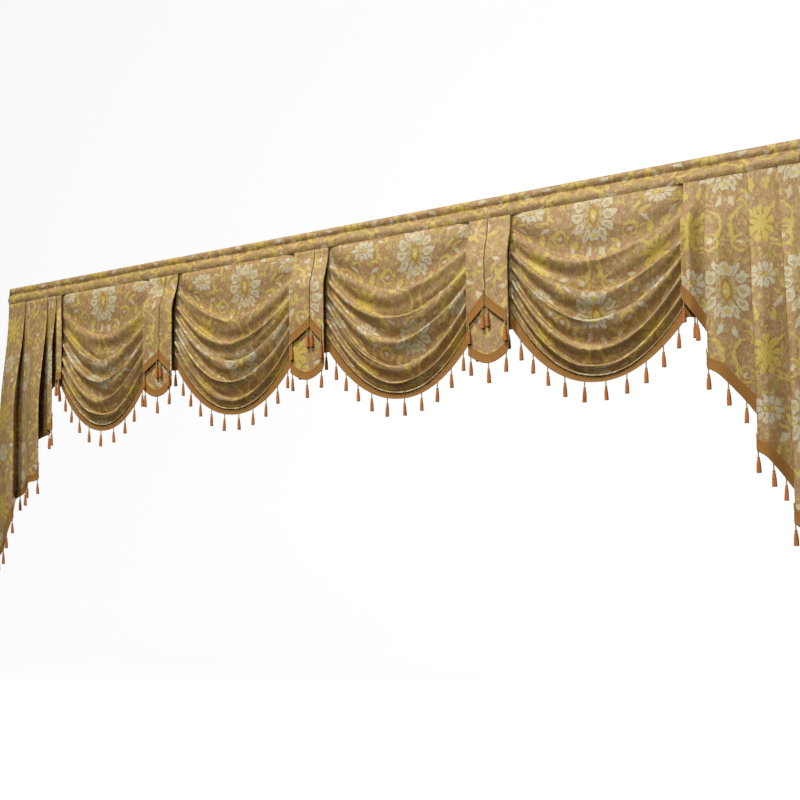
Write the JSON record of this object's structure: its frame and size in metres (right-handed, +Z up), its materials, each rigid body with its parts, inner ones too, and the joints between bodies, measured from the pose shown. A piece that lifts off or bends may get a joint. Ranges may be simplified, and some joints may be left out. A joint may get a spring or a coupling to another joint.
{
  "type": "swag valance",
  "caption": "Wide brocade swag valance with pleated tabs, stepped side cascades and tasselled braid along every hem, under a stiffened heading.",
  "frame": {"origin": "middle of the heading's top back edge, which is fixed to the wall or rail", "axes": "+X along the width to the viewer's right, the front faces -Y, +Z up"},
  "size_m": [3.038, 0.0809, 1.1492],
  "materials": {
    "brocade": "satin jacquard weave with raised flowers",
    "gimp": "corded braid with hanging tassels"
  },
  "bodies": {
    "root": {"heading": "brocade", "swag_1": "brocade", "swag_2": "brocade", "swag_3": "brocade", "swag_4": "brocade", "tab_1": "brocade", "tab_2": "brocade", "tab_3": "brocade", "cascade_left": "brocade", "cascade_right": "brocade", "swag_trim_1": "gimp", "swag_trim_2": "gimp", "swag_trim_3": "gimp", "swag_trim_4": "gimp", "tab_trim_left_1": "gimp", "tab_trim_right_1": "gimp", "tab_trim_back_1": "gimp", "tab_trim_left_2": "gimp", "tab_trim_right_2": "gimp", "tab_trim_back_2": "gimp", "tab_trim_left_3": "gimp", "tab_trim_right_3": "gimp", "tab_trim_back_3": "gimp", "cascade_trim_left_a": "gimp", "cascade_trim_left_b": "gimp", "cascade_trim_left_c": "gimp", "cascade_trim_left_d": "gimp", "cascade_trim_right_a": "gimp", "cascade_trim_right_b": "gimp", "cascade_trim_right_c": "gimp", "cascade_trim_right_d": "gimp"}
  },
  "joints": []
}
